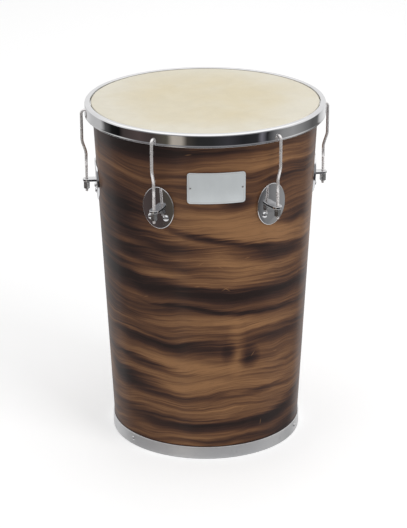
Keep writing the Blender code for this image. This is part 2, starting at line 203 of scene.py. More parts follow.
class ReboloColours(bpy.types.PropertyGroup):
    """Colours of the drum's finishes."""

    wood_streak: colour_property("Wood streaks", "Near-black streaks of the veneer", (0.016, 0.0066, 0.0052))
    wood_dark: colour_property("Dark wood", "Dark bands of the veneer", (0.041, 0.0160, 0.0100))
    wood_brown: colour_property("Brown wood", "Middle tone of the veneer", (0.108, 0.0450, 0.0190))
    wood_golden: colour_property("Golden wood", "Lightest bands of the veneer", (0.262, 0.1270, 0.0500))
    wood_inside: colour_property("Inner wood", "Bare plies inside the shell", (0.42, 0.27, 0.15))
    skin_cream: colour_property("Skin", "Middle of the skin", (0.715, 0.630, 0.440))
    skin_pale: colour_property("Skin's edge", "Skin near the hoop", (0.765, 0.720, 0.600))
    chrome: colour_property("Chrome", "Hoop, lugs, rods and screws", (0.83, 0.83, 0.84))
    rod: colour_property("Rods", "Satin plating of the hook rods", (0.93, 0.90, 0.89))
    steel: colour_property("Plated steel", "Nuts, washers, pins and the flesh hoop", (0.66, 0.66, 0.65))
    aluminium: colour_property("Satin aluminium", "Ring round the foot", (0.80, 0.80, 0.81))
    badge: colour_property("Badge", "Face of the blank badge", (0.58, 0.61, 0.62))
    badge_line: colour_property("Badge line", "Border line of the badge", (0.40, 0.30, 0.30))


def shell_radius(height):
    """Outer radius of the wooden shell at a height."""
    return SHELL_RADIUS_BASE + CONE_SLOPE * height


def bearing_matrix(bearing):
    """Turn a piece that was modelled at +X to its bearing from the badge."""
    return Matrix.Rotation(math.radians(bearing - 90.0), 4, "Z")


def arc(centre_x, centre_y, radius, start, end, steps):
    """Points on an arc, in degrees, both ends included."""
    points = []
    for i in range(steps + 1):
        angle = math.radians(start + (end - start) * i / steps)
        points.append((centre_x + radius * math.cos(angle), centre_y + radius * math.sin(angle)))
    return points


# Modelling by hand, one tool at a time


def deselect():
    if bpy.context.object and bpy.context.object.mode != "OBJECT":
        bpy.ops.object.mode_set(mode="OBJECT")
    bpy.ops.object.select_all(action="DESELECT")


def take_up(obj):
    """Select a piece alone and make it the active one."""
    deselect()
    bpy.context.view_layer.objects.active = obj
    obj.select_set(True)


def added(name):
    """The primitive that was just added, named, with its place in its mesh."""
    bpy.ops.object.transform_apply(location=True, rotation=True, scale=True)
    obj = bpy.context.object
    obj.name = name
    obj.data.name = name
    return obj


def cylinder(name, radius, depth, sides, location=(0.0, 0.0, 0.0)):
    deselect()
    bpy.ops.mesh.primitive_cylinder_add(vertices=sides, radius=radius, depth=depth, location=location)
    return added(name)


def edit(obj):
    take_up(obj)
    bpy.ops.object.mode_set(mode="EDIT")
    bpy.ops.mesh.select_mode(type="VERT")


def pick(obj, test):
    """In edit mode, select the points that pass a test, and what lies between them."""
    bpy.ops.mesh.select_all(action="DESELECT")
    shape = bmesh.from_edit_mesh(obj.data)
    for vert in shape.verts:
        vert.select = bool(test(vert.co))
    shape.select_flush(True)
    bmesh.update_edit_mesh(obj.data)


def close_up(obj):
    """Weld touching points, turn every face outwards and leave edit mode."""
    bpy.ops.mesh.select_all(action="SELECT")
    bpy.ops.mesh.remove_doubles(threshold=TOUCHING)
    bpy.ops.mesh.normals_make_consistent(inside=False)
    bpy.ops.object.mode_set(mode="OBJECT")


def pull_ring(radius, height, next_radius, next_height):
    """Extrude the selected ring to its next height and size."""
    bpy.ops.mesh.extrude_region_move(TRANSFORM_OT_translate={"value": (0.0, 0.0, next_height - height)})
    size = next_radius / radius
    bpy.ops.transform.resize(value=(size, size, 1.0), center_override=(0.0, 0.0, next_height))


def turned(name, profile, steps):
    """Pull a circle ring by ring through a profile of (radius, height) points.

    A profile that starts and ends on the axis gives a solid, and any other is joined end to start.
    """
    rings = [point for point in profile if point[0] > 0.0]
    solid = len(rings) < len(profile)
    radius, height = rings[0]
    deselect()
    bpy.ops.mesh.primitive_circle_add(vertices=steps, radius=radius, location=(0.0, 0.0, height))
    obj = added(name)
    edit(obj)
    bpy.ops.mesh.select_all(action="SELECT")
    goals = rings[1:] + ([profile[-1]] if solid else [rings[0]])
    for next_radius, next_height in goals:
        pull_ring(radius, height, next_radius, next_height)
        radius, height = next_radius, next_height
    if solid:
        first_radius, first_height = rings[0]
        pick(obj, lambda co: abs(co.z - first_height) + abs(co.xy.length - first_radius) < TOUCHING)
        pull_ring(first_radius, first_height, *profile[0])
    close_up(obj)
    return obj


def apply_modifiers(obj):
    take_up(obj)
    for modifier in list(obj.modifiers):
        bpy.ops.object.modifier_apply(modifier=modifier.name)


def shape_with(obj, tool, operation="DIFFERENCE"):
    """Cut, join or trim a piece with a tool, which is used up."""
    boolean = obj.modifiers.new("Shape", "BOOLEAN")
    boolean.operation = operation
    boolean.solver = "EXACT"
    boolean.object = tool
    apply_modifiers(obj)
    if not obj.data.polygons:
        raise RuntimeError(obj.name + " was shaped away")
    bpy.data.objects.remove(tool, do_unlink=True)


def drill(obj, radius, length, sides, matrices):
    """Bore round holes in a piece, each centred on a matrix and lying along its Z."""
    bores = []
    for matrix in matrices:
        bore = cylinder("bore", radius, length, sides)
        bore.data.transform(matrix)
        bores.append(bore)
    shape_with(obj, joined(bores))


def joined(objects):
    deselect()
    for obj in objects:
        obj.select_set(True)
    bpy.context.view_layer.objects.active = objects[0]
    if len(objects) > 1:
        bpy.ops.object.join()
    return bpy.context.object


def smooth(obj, angle=30.0):
    take_up(obj)
    bpy.ops.object.shade_smooth_by_angle(angle=math.radians(angle))


def hand_over(obj, node, finish):
    """Give a finished piece its material and its body, and hide the CAD node that it stands for."""
    obj.data.materials.clear()
    obj.data.materials.append(finish)
    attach(obj, BODY_OF[node])
    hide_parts(node)
    return obj


def copies(pattern, places, piece_prefix, node_prefix, finish):
    """A copy of a piece, with its own mesh, at each named matrix; the pattern itself goes."""
    for place, matrix in places.items():
        piece = bpy.data.objects.new(piece_prefix + place, pattern.data.copy())
        piece.data.name = piece.name
        piece.data.transform(matrix)
        bpy.context.scene.collection.objects.link(piece)
        hand_over(piece, node_prefix + place, finish)
    bpy.data.objects.remove(pattern, do_unlink=True)


# Places of what is screwed or pinned on


def lug_plate_matrix(tangential, height):
    """Place +Z along the outward normal of a lug plate's flat front, at a point of that front."""
    centre = Vector((shell_radius(height) + GAP + LUG_PLATE_THICKNESS, tangential, height))
    return Matrix.Translation(centre) @ Matrix.Rotation(math.radians(90.0) + CONE_ANGLE, 4, "Y")


def outward(radius, height, slope=0.0):
    """Place +Z straight out at +X, dipped by a slope, at a distance from the axis and a height."""
    return Matrix.Translation((radius, 0.0, height)) @ Matrix.Rotation(math.radians(90.0) + slope, 4, "Y")


def at_bearings(bearings, seat=Matrix.Identity(4)):
    """A seat that is given at +X, turned to each named bearing."""
    return {name: bearing_matrix(bearing) @ seat for name, bearing in bearings.items()}


def lug_screw_places(depth=0.0):
    """Both screws of every lug, with +Z out of the plate and the origin this deep behind its front."""
    places = {}
    for name, bearing in LUG_BEARINGS.items():
        for side, hand in ((-1, "a"), (1, "b")):
            seat = lug_plate_matrix(side * LUG_SCREW_OFFSET, LUG_SCREW_HEIGHT)
            drop = Matrix.Translation((0.0, 0.0, -depth))
            places[name + "_" + hand] = bearing_matrix(bearing) @ seat @ drop
    return places


def ring_screw_places(lift=0.0):
    """The ring's screws, with +Z outwards and the origin this far off the ring's outside."""
    return at_bearings(RING_SCREW_BEARINGS, outward(RING_RADIUS + lift, RING_SCREW_HEIGHT))


def pin_places(lift=0.0):
    """The badge's two pins, with +Z outwards and the origin this far off the badge's front."""
    radius = shell_radius(BADGE_HEIGHT) + GAP + BADGE_THICKNESS + lift
    bearing = math.degrees(PIN_OFFSET / radius)
    return at_bearings({"left": -bearing, "right": bearing}, outward(radius, BADGE_HEIGHT, CONE_ANGLE))


# Materials


class Wire:
    """A number or colour inside a node tree. Sums on it add their Math nodes."""

    def __init__(self, graph, socket):
        self.graph = graph
        self.socket = socket

    def __add__(self, other):
        return self.graph.math("ADD", self, other)

    def __radd__(self, other):
        return self.graph.math("ADD", other, self)

    def __sub__(self, other):
        return self.graph.math("SUBTRACT", self, other)

    def __rsub__(self, other):
        return self.graph.math("SUBTRACT", other, self)

    def __mul__(self, other):
        return self.graph.math("MULTIPLY", self, other)

    def __truediv__(self, other):
        return self.graph.math("DIVIDE", self, other)

    def __abs__(self):
        return self.graph.math("ABSOLUTE", self)


class Graph:
    """The nodes of one material or of the world."""

    def __init__(self, tree):
        self.tree = tree

    def add(self, kind, settings=None, inputs=None, output=0):
        """Add a node, set it, feed its sockets with values or wires, and give its output."""
        node = self.tree.nodes.new(kind)
        for name, value in (settings or {}).items():
            if name == "stops":
                set_stops(node.color_ramp, value)
            else:
                setattr(node, name, value)
        for key, value in (inputs or {}).items():
            self.feed(node.inputs[key], value)
        return Wire(self, node.outputs[output])

    def feed(self, socket, value):
        if isinstance(value, Wire):
            self.tree.links.new(value.socket, socket)
        else:
            socket.default_value = value

    def math(self, operation, *values):
        return self.add("ShaderNodeMath", {"operation": operation}, dict(enumerate(values)))

    def least(self, a, b):
        return self.math("MINIMUM", a, b)

    def most(self, a, b):
        return self.math("MAXIMUM", a, b)

    def vector(self, x, y, z):
        return self.add("ShaderNodeCombineXYZ", inputs={0: x, 1: y, 2: z})

    def split(self, vector):
        """The x, y and z of a vector."""
        parts = self.tree.nodes.new("ShaderNodeSeparateXYZ")
        self.feed(parts.inputs[0], vector)
        return [Wire(self, parts.outputs[i]) for i in range(3)]

    def noise(self, vector, detail=2.0, roughness=0.5, distortion=0.0):
        """Noise from 0 to 1 with features one unit across."""
        inputs = {
            "Vector": vector,
            "Scale": 1.0,
            "Detail": detail,
            "Roughness": roughness,
            "Distortion": distortion,
        }
        return self.add("ShaderNodeTexNoise", inputs=inputs)

    def ease(self, value, low, high, start=0.0, end=1.0):
        """From start to end, smoothly, as the value goes from low to high."""
        inputs = {"Value": value, "From Min": low, "From Max": high, "To Min": start, "To Max": end}
        return self.add("ShaderNodeMapRange", {"interpolation_type": "SMOOTHSTEP"}, inputs)

    def blend(self, factor, a, b, kind="MIX"):
        settings = {"data_type": "RGBA", "blend_type": kind}
        return self.add("ShaderNodeMix", settings, {0: factor, 6: rgba(a), 7: rgba(b)}, output=2)

    def bump(self, height, distance, strength=1.0):
        inputs = {"Height": height, "Distance": distance, "Strength": strength}
        return self.add("ShaderNodeBump", inputs=inputs)


def rgba(colour):
    """A wire as it is; a colour, or a number for a grey, with its alpha."""
    if isinstance(colour, Wire):
        return colour
    if isinstance(colour, float):
        colour = (colour, colour, colour)
    return (*colour, 1.0)


def dimmed(colour, share):
    return [channel * share for channel in colour]


def set_stops(ramp, stops):
    """Give a colour ramp its (position, colour) stops."""
    while len(ramp.elements) > 1:
        ramp.elements.remove(ramp.elements[-1])
    ramp.elements[0].position = stops[0][0]
    ramp.elements[0].color = rgba(stops[0][1])
    for position, colour in stops[1:]:
        element = ramp.elements.new(position)
        element.color = rgba(colour)


class Finish(Graph):
    """A material with one Principled shader, whose named sockets are set or fed."""

    def __init__(self, name):
        self.material = bpy.data.materials.new(name)
        self.material.use_nodes = True
        super().__init__(self.material.node_tree)
        self.shader = self.tree.nodes["Principled BSDF"]

    def place(self):
        """Object coordinates, as the x, y and z of a point."""
        return self.split(self.add("ShaderNodeTexCoord", output=3))

    def round_place(self):
        """Arc length from the badge, height, and distance from the axis."""
        x, y, z = self.place()
        bearing = self.math("ARCTAN2", x, 0.0 - y)
        radius = self.math("SQRT", x * x + y * y)
        return bearing, z, radius

    def set(self, **sockets):
        """Set shader sockets by their names, written with underscores."""
        for name, value in sockets.items():
            socket = next(s for s in self.shader.inputs if s.name.lower().replace(" ", "_") == name)
            if name in ("base_color", "emission_color"):
                value = rgba(value)
            self.feed(socket, value)
        return self.material


def existing(name, maker, *settings):
    """The material of that name, made in the drum's colours the first time that it is asked for."""
    found = bpy.data.materials.get(name)
    return found or maker(name, bpy.context.scene.rebolo_colours, *settings)


WOOD_MEAN_RADIUS = 0.138

# The veneer's figure, stroke by stroke: bearing in degrees, height, half length, half thickness, tilt in
# degrees, and how much lighter or darker it is
VENEER_STROKES = (
    (5, 0.338, 0.110, 0.036, -8, 0.36),
    (38, 0.313, 0.110, 0.020, -8, 0.32),
    (4, 0.285, 0.075, 0.028, -10, 0.32),
    (-25, 0.263, 0.110, 0.012, -9, 0.28),
    (10, 0.198, 0.180, 0.014, -2, 0.40),
    (-20, 0.139, 0.170, 0.013, -5, 0.38),
    (0, 0.110, 0.180, 0.027, -2, 0.32),
    (12, 0.160, 0.016, 0.046, 0, 0.26),
    (42, 0.134, 0.075, 0.013, -3, 0.26),
    (25, 0.425, 0.140, 0.034, 2, 0.26),
    (0, 0.075, 0.190, 0.020, 1, 0.16),
    (-10, 0.032, 0.140, 0.010, 0, 0.14),
    (12, 0.262, 0.095, 0.010, -4, 0.20),
    (30, 0.272, 0.075, 0.012, -3, 0.20),
    (-50, 0.436, 0.120, 0.020, -3, -0.50),
    (-10, 0.437, 0.110, 0.008, -2, -0.30),
    (-2, 0.319, 0.090, 0.0070, -15, -0.56),
    (42, 0.293, 0.095, 0.017, -4, -0.40),
    (-36, 0.311, 0.090, 0.014, -9, -0.44),
    (-45, 0.289, 0.070, 0.012, -5, -0.36),
    (-35, 0.246, 0.155, 0.016, -4, -0.48),
    (35, 0.236, 0.145, 0.016, -2, -0.48),
    (-10, 0.218, 0.100, 0.0045, -5, -0.46),
    (28, 0.209, 0.110, 0.004, -2, -0.30),
    (-28, 0.166, 0.130, 0.012, -3, -0.50),
    (-38, 0.131, 0.075, 0.008, -6, -0.32),
    (-58, 0.103, 0.100, 0.018, -5, -0.55),
    (0, 0.091, 0.145, 0.0065, 2, -0.30),
    (-5, 0.049, 0.200, 0.013, -1, -0.42),
    (50, 0.056, 0.095, 0.013, 12, -0.38),
    (50, 0.020, 0.110, 0.015, 5, -0.32),
    (10, 0.371, 0.026, 0.017, -15, -0.38),
    (50, 0.330, 0.060, 0.010, -5, -0.34),
    (20, 0.146, 0.018, 0.019, 60, -0.48),
    (8, 0.156, 0.014, 0.014, 0, -0.30),
    (-52, 0.350, 0.055, 0.042, 0, -0.38),
    (-70, 0.300, 0.060, 0.120, 0, -0.18),
    (35, 0.170, 0.110, 0.012, -2, -0.24),
    (30, 0.395, 0.120, 0.008, -4, -0.28),
)

# Short pale scratches: bearing and height of the middle, half length, and tilt in degrees
VENEER_SCRATCHES = (
    (-14, 0.435, 0.0050, 10),
    (19, 0.425, 0.0045, -20),
    (-8, 0.285, 0.0055, 35),
    (2, 0.280, 0.0060, -30),
    (17, 0.290, 0.0045, 15),
    (5, 0.249, 0.0065, 28),
    (6, 0.248, 0.0060, -35),
    (-10, 0.253, 0.0050, 5),
    (33, 0.260, 0.0050, -15),
    (-40, 0.230, 0.0045, 20),
    (22, 0.150, 0.0055, 50),
    (38, 0.145, 0.0045, -10),
    (-8, 0.075, 0.0090, 2),
    (16, 0.070, 0.0050, 30),
    (29, 0.045, 0.0050, 80),
)
SCRATCH_HALF_THICKNESS = 0.0008


def wood_finish(name, colours):
    """Dark, figured veneer with its grain round the shell, under a satin lacquer, with a painted shadow just
    above the foot ring; bare plies inside.
    """
    wood = Finish(name)
    bearing, z, radius = wood.round_place()
    u = bearing * WOOD_MEAN_RADIUS

    def grain(along, across, seed, height, detail=2.0, roughness=0.5):
        """Noise stretched along the grain, with so many features to the metre each way."""
        return wood.noise(wood.vector(u * along, height * across, seed), detail, roughness)

    def stroke(total, surface, place, height, half_length, half_thickness, tilt, strength):
        """Add a soft spindle, which lies along the grain, to a total."""
        inputs = {
            "Vector": surface,
            "Location": (math.radians(place) * WOOD_MEAN_RADIUS, height, 0.0),
            "Rotation": (0.0, 0.0, math.radians(tilt)),
            "Scale": (half_length, half_thickness, 1.0),
        }
        laid = wood.add("ShaderNodeMapping", {"vector_type": "TEXTURE"}, inputs)
        round_fade = {"gradient_type": "SPHERICAL"}
        spindle = wood.add("ShaderNodeTexGradient", round_fade, {"Vector": laid}, output=1)
        return wood.math("MULTIPLY_ADD", spindle, strength, total)

    waver = (grain(3.2, 4.5, 1.7, z) - 0.5) * 0.085
    ripple = (grain(14.0, 13.0, 4.1, z) - 0.5) * 0.016
    level = z + waver + ripple
    bands = grain(1.9, 21.0, 7.3, level, 3.0, 0.55)
    strands = grain(4.2, 140.0, 2.9, level, 4.0, 0.65)
    hairs = grain(15.0, 560.0, 5.5, level, 2.0, 0.6)
    pores = wood.ease(grain(70.0, 2100.0, 8.8, level, 1.0), 0.60, 0.72)
    zones = grain(5.5, 9.0, 3.3, z, 1.0) - 0.5

    figure = 0.0
    surface = wood.vector(u, z + ripple + (strands - 0.5) * 0.022, 0.0)
    for values in VENEER_STROKES:
        figure = stroke(figure, surface, *values)
    front = wood.ease(abs(bearing), 1.15, 1.50, 1.0, 0.0)
    coarse = (bands - 0.5) * (1.25 - front * 0.90)
    tone = 0.53 + figure * front + coarse + (strands - 0.5) * 0.85 + (hairs - 0.5) * 0.40 + zones * 0.30
    stops = [
        (0.12, colours.wood_streak),
        (0.34, colours.wood_dark),
        (0.56, colours.wood_brown),
        (0.86, colours.wood_golden),
    ]
    colour = wood.add("ShaderNodeValToRGB", {"stops": stops}, {"Fac": tone})
    streak = wood.ease(grain(3.1, 46.0, 9.4, level, 2.0, 0.5), 0.60, 0.72)
    colour = wood.blend(streak * (0.70 - front * 0.45), colour, colours.wood_streak)
    colour = wood.blend(pores * 0.30, colour, colours.wood_streak)

    scratches = 0.0
    surface = wood.vector(u, z, 0.0)
    for place, height, half_length, tilt in VENEER_SCRATCHES:
        scratches = stroke(scratches, surface, place, height, half_length, SCRATCH_HALF_THICKNESS, tilt, 1.0)
    colour = wood.blend(wood.least(scratches * 0.8, 0.6), colour, colours.wood_golden)
    # Painted shadow: the wood just above the foot ring is darkened to the streak colour, as shade along the
    # joint
    painted_ring_shadow = wood.ease(z, RING_HEIGHT + 0.0004, RING_HEIGHT + 0.0018, 1.0, 0.0)
    colour = wood.blend(painted_ring_shadow * 0.85, colour, colours.wood_streak)

    outside = wood.ease(radius - z * CONE_SLOPE, SHELL_RADIUS_BASE - 0.0016, SHELL_RADIUS_BASE - 0.0012)
    ply = wood.noise(wood.vector(u * 8.0, z * 60.0, radius * 900.0), 2.0)
    bare = wood.blend(wood.ease(ply, 0.35, 0.65), dimmed(colours.wood_inside, 0.7), colours.wood_inside)
    colour = wood.blend(outside, bare, colour)

    relief = strands * 0.5 + hairs * 0.3 - pores * 0.5
    return wood.set(
        base_color=colour,
        roughness=0.50 + (1.0 - outside) * 0.30 + (strands - 0.5) * 0.12,
        specular_ior_level=0.30,
        coat_weight=outside * 0.22,
        coat_roughness=0.16,
        normal=wood.bump(relief, 0.00012, 0.35),
    )


def scuffs(finish, fineness, seed):
    """Faint wiping marks and clouding, from 0 to 1."""
    x, y, z = finish.place()
    clouds = finish.noise(finish.vector(x * fineness, y * fineness, z * fineness), 3.0, 0.6)
    wipes = finish.noise(finish.vector(x * fineness * 4 + seed, y * fineness * 4, z * fineness * 22), 2.0)
    return clouds, wipes


def clouded(finish, clouds, colour, darkest):
    """A colour that is dimmed down to a share where the clouds are thin."""
    return finish.blend(finish.ease(clouds, 0.3, 0.7), dimmed(colour, darkest), colour)


def chrome_finish(name, colours):
    """Bright chrome with faint clouding and wiping marks."""
    chrome = Finish(name)
    clouds, wipes = scuffs(chrome, 45.0, 3.0)
    return chrome.set(
        base_color=clouded(chrome, clouds, colours.chrome, 0.95),
        metallic=1.0,
        roughness=0.035 + chrome.ease(clouds, 0.45, 0.75) * 0.05 + chrome.ease(wipes, 0.6, 0.8) * 0.03,
        normal=chrome.bump(wipes, 0.000006),
    )


def rod_finish(name, colours):
    """Pale satin plating of the hook rods, with faint marks along them."""
    rod = Finish(name)
    clouds, wipes = scuffs(rod, 120.0, 5.0)
    return rod.set(
        base_color=clouded(rod, clouds, colours.rod, 0.9),
        metallic=0.70,
        roughness=0.24 + rod.ease(clouds, 0.4, 0.7) * 0.08,
        normal=rod.bump(wipes, 0.000008),
    )


def steel_finish(name, colours):
    """Zinc-plated steel, a little cloudy."""
    steel = Finish(name)
    clouds, wipes = scuffs(steel, 160.0, 7.0)
    return steel.set(
        base_color=clouded(steel, clouds, colours.steel, 0.82),
        metallic=1.0,
        roughness=0.20 + steel.ease(clouds, 0.35, 0.7) * 0.14,
        normal=steel.bump(wipes, 0.00001),
    )


def aluminium_finish(name, colours):
    """Satin aluminium, brushed round the foot, with a few rub marks and a painted contact shadow along its
    bottom edge.
    """
    ring = Finish(name)
    bearing, z, radius = ring.round_place()
    brushing = ring.noise(ring.vector(bearing * 9.0, z * 4200.0, radius * 2000.0), 3.0, 0.6)
    clouds = ring.noise(ring.vector(bearing * 14.0, z * 70.0, radius * 40.0), 3.0, 0.6)
    rubbed = ring.ease(clouds, 0.55, 0.75)
    colour = ring.blend(rubbed * 0.5, colours.aluminium, dimmed(colours.aluminium, 0.84))
    colour = ring.blend(ring.ease(brushing, 0.3, 0.7) * 0.16, colour, dimmed(colours.aluminium, 0.7))
    # Painted contact shadow: the lowest millimetre of the ring is darkened towards black, where it meets the
    # floor
    colour = ring.blend(ring.ease(z, 0.0003, 0.0011, 0.75, 0.0), colour, dimmed(colours.aluminium, 0.2))
    return ring.set(
        base_color=colour,
        metallic=0.75,
        roughness=0.40 + rubbed * 0.10 + (brushing - 0.5) * 0.12,
        normal=ring.bump(brushing, 0.00002, 0.5),
    )


def skin_finish(name, colours):
    """Cream hide: cloudy and faintly fibrous, paler near the hoop."""
    skin = Finish(name)
    x, y, z = skin.place()
    radius = skin.math("SQRT", x * x + y * y)
    clouds = skin.noise(skin.vector(x * 13.0, y * 13.0, z * 13.0), 4.0, 0.55, 0.4)
    blotches = skin.noise(skin.vector(x * 46.0 + 5.0, y * 46.0, z * 46.0), 3.0, 0.6, 0.6)
    fibres = skin.noise(skin.vector(x * 900.0, y * 260.0, z * 260.0), 3.0, 0.65, 1.5)
    pale = skin.ease(radius, 0.075, 0.148) * 0.75 + skin.ease(clouds, 0.35, 0.70) * 0.45
    colour = skin.blend(skin.least(pale, 1.0), colours.skin_cream, colours.skin_pale)
    shade = skin.ease(blotches, 0.35, 0.70) * 0.10 + skin.ease(fibres, 0.45, 0.75) * 0.06
    colour = skin.blend(shade, colour, dimmed(colours.skin_cream, 0.62))
    relief = blotches * 0.6 + fibres * 0.4 + clouds
    return skin.set(
        base_color=colour,
        roughness=0.50 + (fibres - 0.5) * 0.15,
        normal=skin.bump(relief, 0.00016, 0.5),
    )


def badge_finish(name, colours, border):
    """Satin plate with a fine border line and nothing inside it."""
    badge = Finish(name)
    bearing, z, radius = badge.round_place()
    across = abs(bearing * (shell_radius(BADGE_HEIGHT) + GAP + BADGE_THICKNESS))
    up = abs(z - BADGE_HEIGHT)
    corner = BADGE_CORNER - border
    past_x = badge.most(across - (BADGE_WIDTH / 2 - BADGE_CORNER), 0.0)
    past_z = badge.most(up - (BADGE_TALL / 2 - BADGE_CORNER), 0.0)
    inner = badge.least(badge.most(across - BADGE_WIDTH / 2, up - BADGE_TALL / 2) + BADGE_CORNER, 0.0)
    reach = badge.math("SQRT", past_x * past_x + past_z * past_z) + inner
    line = badge.ease(abs(reach - corner), 0.00012, 0.00030, 1.0, 0.0)
    brushing = badge.noise(badge.vector(bearing * 30.0, z * 5200.0, 1.5), 3.0, 0.6)
    clouds = badge.noise(badge.vector(bearing * 9.0, z * 30.0, 4.0), 2.0)
    clouding = badge.ease(clouds, 0.35, 0.65) * 0.35
    colour = badge.blend(clouding, colours.badge, dimmed(colours.badge, 0.88))
    colour = badge.blend(line * 0.55, colour, colours.badge_line)
    return badge.set(
        base_color=colour,
        metallic=0.25,
        roughness=0.36 + (brushing - 0.5) * 0.10,
        normal=badge.bump(brushing * 0.15 - line, 0.00005, 0.6),
    )


# Pieces


class ShellOperator(bpy.types.Operator):
    """Model the veneered shell, a cone that is wider at the top, with its bearing edge and screw holes"""

    bl_idname = "rebolo.add_shell"
    bl_label = "Shell"

    def execute(self, context):
        sizes = context.scene.rebolo_sizes
        ease = sizes.edge_ease
        edge_round = 0.0010
        edge_width = 0.0022
        chamfer = 0.0040
        levels = [0.0165, 0.1800, 0.3325, 0.3710, 0.3865, 0.4095]
        top_radius = shell_radius(SHELL_TOP) - edge_round
        inner_top = SHELL_TOP - chamfer
        profile = [(shell_radius(SHELL_BOTTOM) - ease, SHELL_BOTTOM)]
        profile += [(shell_radius(level), level) for level in [SHELL_BOTTOM + ease, *levels]]
        profile += arc(top_radius, SHELL_TOP - edge_round, edge_round, 0.0, 90.0, 5)
        profile.append((top_radius - edge_width, SHELL_TOP))
        inner_levels = [inner_top, 0.40, 0.30, 0.03, SHELL_BOTTOM + ease]
        profile += [(shell_radius(level) - SHELL_WALL, level) for level in inner_levels]
        profile.append((shell_radius(SHELL_BOTTOM) - SHELL_WALL + ease, SHELL_BOTTOM))
        shell = turned("veneered_shell", profile, sizes.turning_steps)
        reach = SHELL_WALL * 4
        drill(shell, SCREW_RADIUS + BORE_EASE, reach, SCREW_HOLE_SIDES, lug_screw_places().values())
        drill(shell, RING_SCREW_RADIUS + BORE_EASE, reach, SMALL_HOLE_SIDES, ring_screw_places().values())
        drill(shell, PIN_RADIUS + BORE_EASE, PIN_LENGTH * 2, PIN_HOLE_SIDES, pin_places().values())
        smooth(shell)
        finish = existing("Figured veneer", wood_finish)
        hand_over(shell, "shell", finish)
        return {"FINISHED"}


class FootRingOperator(bpy.types.Operator):
    """Model the aluminium ring round the foot, with its lip under the shell's end"""

    bl_idname = "rebolo.add_foot_ring"
    bl_label = "Foot ring"

    def execute(self, context):
        sizes = context.scene.rebolo_sizes
        ease = sizes.edge_ease
        inner = RING_RADIUS - RING_WALL
        lip = RING_RADIUS - RING_LIP_WIDTH
        half = RING_LIP_THICKNESS / 2
        profile = arc(RING_RADIUS - ease, RING_HEIGHT - ease, ease, 90.0, 0.0, 5)
        profile += [(RING_RADIUS, RING_SCREW_HEIGHT + 0.003), (RING_RADIUS, RING_SCREW_HEIGHT - 0.003)]
        profile += arc(RING_RADIUS - ease, ease, ease, 0.0, -90.0, 5)
        profile += arc(lip + half, half, half, 270.0, 90.0, 6)
        profile += [(inner, RING_LIP_THICKNESS), (inner, RING_HEIGHT)]
        ring = turned("foot_ring", profile, sizes.turning_steps)
        reach = RING_WALL * 4
        drill(ring, RING_SCREW_RADIUS + BORE_EASE, reach, SMALL_HOLE_SIDES, ring_screw_places().values())
        smooth(ring)
        finish = existing("Satin aluminium", aluminium_finish)
        hand_over(ring, "bottom_ring", finish)
        return {"FINISHED"}


def domed_screw(name, head_radius, head_height, shank_radius, length, steps):
    """A round-headed screw with +Z out of its head and the origin under the head."""
    crown = arc(0.0, 0.0, 1.0, 90.0, 8.0, 9)
    profile = [(head_radius * x, head_height * y) for x, y in crown[1:]]
    profile = [(0.0, head_height), *profile, (head_radius * 0.96, 0.0), (shank_radius, 0.0)]
    tip = shank_radius * 0.3
    profile += [(shank_radius, tip - length), (shank_radius - tip, -length), (0.0, -length)]
    screw = turned(name, profile, steps)
    smooth(screw)
    return screw


class FootScrewsOperator(bpy.types.Operator):
    """Model the three small round-headed screws of the foot ring"""

    bl_idname = "rebolo.add_foot_screws"
    bl_label = "Foot screws"

    def execute(self, context):
        head = (RING_SCREW_HEAD_RADIUS, RING_SCREW_HEAD_HEIGHT)
        screw = domed_screw("foot_screw", *head, RING_SCREW_RADIUS, RING_SCREW_LENGTH, 32)
        finish = existing("Chrome", chrome_finish)
        copies(screw, ring_screw_places(GAP), "foot_screw_", "bottom_ring_screw_", finish)
        return {"FINISHED"}


class SkinOperator(bpy.types.Operator):
    """Model the skin across the bearing edge, with its collar down the outside of the shell"""

    bl_idname = "rebolo.add_skin"
    bl_label = "Skin"

    def execute(self, context):
        inner = SKIN_RADIUS - SKIN_THICKNESS
        half = SKIN_THICKNESS / 2
        fold = 0.0014
        inner_fold = fold - SKIN_THICKNESS
        under = SKIN_TOP - SKIN_THICKNESS
        profile = [(0.0, SKIN_TOP)]
        profile += [(radius, SKIN_TOP) for radius in (0.012, 0.050, 0.100, 0.140)]
        profile += arc(SKIN_RADIUS - fold, SKIN_TOP - fold, fold, 90.0, 0.0, 7)
        profile += arc(SKIN_RADIUS - half, SKIN_BOTTOM + half, half, 0.0, -180.0, 6)
        profile += arc(inner - inner_fold, under - inner_fold, inner_fold, 0.0, 90.0, 4)
        profile += [(radius, under) for radius in (0.140, 0.100, 0.050, 0.012)]
        profile.append((0.0, under))
        skin = turned("skin", profile, context.scene.rebolo_sizes.turning_steps)
        smooth(skin)
        finish = existing("Cream hide", skin_finish)
        hand_over(skin, "drum_head", finish)
        return {"FINISHED"}


